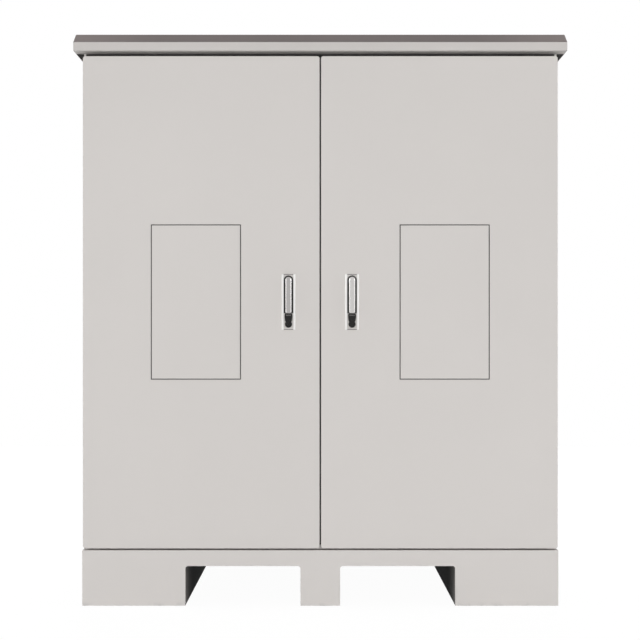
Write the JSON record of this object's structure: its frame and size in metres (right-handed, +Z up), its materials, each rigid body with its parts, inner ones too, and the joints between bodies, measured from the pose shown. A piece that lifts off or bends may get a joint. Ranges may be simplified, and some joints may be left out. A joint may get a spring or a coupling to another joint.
{
  "type": "battery cabinet",
  "caption": "Two-door steel battery cabinet on a forklift base, with swing handles, racked battery modules, breakers and roof fans inside",
  "frame": {"origin": "centre of the whole cabinet's box, at its lowest face, on the ground", "axes": "+X to the right seen from the front, doors face -Y, +Z up"},
  "size_m": [1.24, 0.83, 1.445],
  "materials": {
    "cabinet_paint": "light warm-grey fine-textured powder coat",
    "handle_metal": "satin chrome on zinc casting",
    "zinc_steel": "bright zinc plating",
    "seal_rubber": "matt black cellular rubber",
    "black_plastic": "black moulded nylon",
    "module_case": "dark grey textured case",
    "copper": "bare rolled copper",
    "breaker_case": "moulded case",
    "toggle_plastic": "red moulded lever"
  },
  "bodies": {
    "root": {"base_front_beam": "cabinet_paint", "base_rear_beam": "cabinet_paint", "base_side_beams": "cabinet_paint", "battery_handles": "zinc_steel", "breaker_bodies": "breaker_case", "breaker_panels": "cabinet_paint", "cable_entry_plate": "zinc_steel", "ceiling_plate": "cabinet_paint", "door_frame_posts": "cabinet_paint", "door_frame_rails": "cabinet_paint", "fan_housings": "black_plastic", "floor_plate": "cabinet_paint", "fork_tunnels": "cabinet_paint", "hinge_frame_leaves": "zinc_steel", "hinge_pins": "zinc_steel", "left_battery_modules": "module_case", "left_side_wall": "cabinet_paint", "negative_busbars": "copper", "positive_busbars": "copper", "rack_posts": "zinc_steel", "rear_wall": "cabinet_paint", "right_battery_modules": "module_case", "right_side_wall": "cabinet_paint", "roof_cap": "cabinet_paint", "roof_screws": "zinc_steel", "support_angles": "zinc_steel"},
    "left_door_leaf": {"left_door": "cabinet_paint", "left_seal_channel": "cabinet_paint", "left_gasket": "seal_rubber", "left_blanking_panel": "cabinet_paint", "left_panel_nuts": "zinc_steel", "left_hinge_leaves": "zinc_steel", "left_escutcheon": "handle_metal", "left_rod_guides": "zinc_steel"},
    "left_handle": {"left_spindle": "zinc_steel"},
    "left_grip": {"left_lever": "handle_metal", "left_lever_pin": "zinc_steel"},
    "left_key": {"left_key_plug": "handle_metal"},
    "left_cover": {"left_dust_cover": "black_plastic"},
    "left_rod_up": {"left_upper_rod": "zinc_steel"},
    "left_rod_down": {"left_lower_rod": "zinc_steel"},
    "left_toggle": {"left_breaker_toggle": "toggle_plastic"},
    "left_rotor": {"left_fan_rotor": "black_plastic"},
    "right_door_leaf": {"right_door": "cabinet_paint", "right_seal_channel": "cabinet_paint", "right_gasket": "seal_rubber", "right_blanking_panel": "cabinet_paint", "right_panel_nuts": "zinc_steel", "right_hinge_leaves": "zinc_steel", "right_escutcheon": "handle_metal", "right_rod_guides": "zinc_steel"},
    "right_handle": {"right_spindle": "zinc_steel"},
    "right_grip": {"right_lever": "handle_metal", "right_lever_pin": "zinc_steel"},
    "right_key": {"right_key_plug": "handle_metal"},
    "right_cover": {"right_dust_cover": "black_plastic"},
    "right_rod_up": {"right_upper_rod": "zinc_steel"},
    "right_rod_down": {"right_lower_rod": "zinc_steel"},
    "right_toggle": {"right_breaker_toggle": "toggle_plastic"},
    "right_rotor": {"right_fan_rotor": "black_plastic"}
  },
  "joints": [
    {"name": "left_door_swing", "type": "hinge", "parent": "root", "child": "left_door_leaf", "pos_m": [-0.588, -0.387, 0.765], "axis": [0, 0, -1], "range_deg": [0, 110]},
    {"name": "left_handle_turn", "type": "hinge", "parent": "left_door_leaf", "child": "left_handle", "pos_m": [-0.08, -0.4, 0.8175], "axis": [0, 1, 0], "range_deg": [0, 90]},
    {"name": "left_grip_lift", "type": "hinge", "parent": "left_handle", "child": "left_grip", "pos_m": [-0.08, -0.40925, 0.8175], "axis": [-1, 0, 0], "range_deg": [0, 35]},
    {"name": "left_key_turn", "type": "hinge", "parent": "left_door_leaf", "child": "left_key", "pos_m": [-0.08, -0.4, 0.728], "axis": [0, 1, 0], "range_deg": [0, 90]},
    {"name": "left_cover_swing", "type": "hinge", "parent": "left_door_leaf", "child": "left_cover", "pos_m": [-0.08, -0.4, 0.7095], "axis": [0, -1, 0], "range_deg": [0, 100]},
    {"name": "left_rod_up_slide", "type": "slide", "parent": "left_door_leaf", "child": "left_rod_up", "axis": [0, 0, -1], "range_m": [0, 0.018]},
    {"name": "left_rod_down_slide", "type": "slide", "parent": "left_door_leaf", "child": "left_rod_down", "axis": [0, 0, 1], "range_m": [0, 0.018]},
    {"name": "left_toggle_throw", "type": "hinge", "parent": "root", "child": "left_toggle", "pos_m": [-0.2875, -0.337, 1.3008], "axis": [1, 0, 0], "range_deg": [0, 50]},
    {"name": "left_fan_spin", "type": "hinge", "parent": "root", "child": "left_rotor", "pos_m": [-0.2875, -0.1, 1.375], "axis": [0, 0, 1], "continuous": true},
    {"name": "right_door_swing", "type": "hinge", "parent": "root", "child": "right_door_leaf", "pos_m": [0.588, -0.387, 0.765], "axis": [0, 0, 1], "range_deg": [0, 110]},
    {"name": "right_handle_turn", "type": "hinge", "parent": "right_door_leaf", "child": "right_handle", "pos_m": [0.08, -0.4, 0.8175], "axis": [0, -1, 0], "range_deg": [0, 90]},
    {"name": "right_grip_lift", "type": "hinge", "parent": "right_handle", "child": "right_grip", "pos_m": [0.08, -0.40925, 0.8175], "axis": [-1, 0, 0], "range_deg": [0, 35]},
    {"name": "right_key_turn", "type": "hinge", "parent": "right_door_leaf", "child": "right_key", "pos_m": [0.08, -0.4, 0.728], "axis": [0, -1, 0], "range_deg": [0, 90]},
    {"name": "right_cover_swing", "type": "hinge", "parent": "right_door_leaf", "child": "right_cover", "pos_m": [0.08, -0.4, 0.7095], "axis": [0, 1, 0], "range_deg": [0, 100]},
    {"name": "right_rod_up_slide", "type": "slide", "parent": "right_door_leaf", "child": "right_rod_up", "axis": [0, 0, -1], "range_m": [0, 0.018]},
    {"name": "right_rod_down_slide", "type": "slide", "parent": "right_door_leaf", "child": "right_rod_down", "axis": [0, 0, 1], "range_m": [0, 0.018]},
    {"name": "right_toggle_throw", "type": "hinge", "parent": "root", "child": "right_toggle", "pos_m": [0.2875, -0.337, 1.3008], "axis": [1, 0, 0], "range_deg": [0, 50]},
    {"name": "right_fan_spin", "type": "hinge", "parent": "root", "child": "right_rotor", "pos_m": [0.2875, -0.1, 1.375], "axis": [0, 0, 1], "continuous": true}
  ],
  "couplings": [
    {"joint": "left_rod_up_slide", "follows": "left_handle_turn", "m_per_rad": 0.011459},
    {"joint": "left_rod_down_slide", "follows": "left_handle_turn", "m_per_rad": 0.011459},
    {"joint": "right_rod_up_slide", "follows": "right_handle_turn", "m_per_rad": 0.011459},
    {"joint": "right_rod_down_slide", "follows": "right_handle_turn", "m_per_rad": 0.011459}
  ]
}
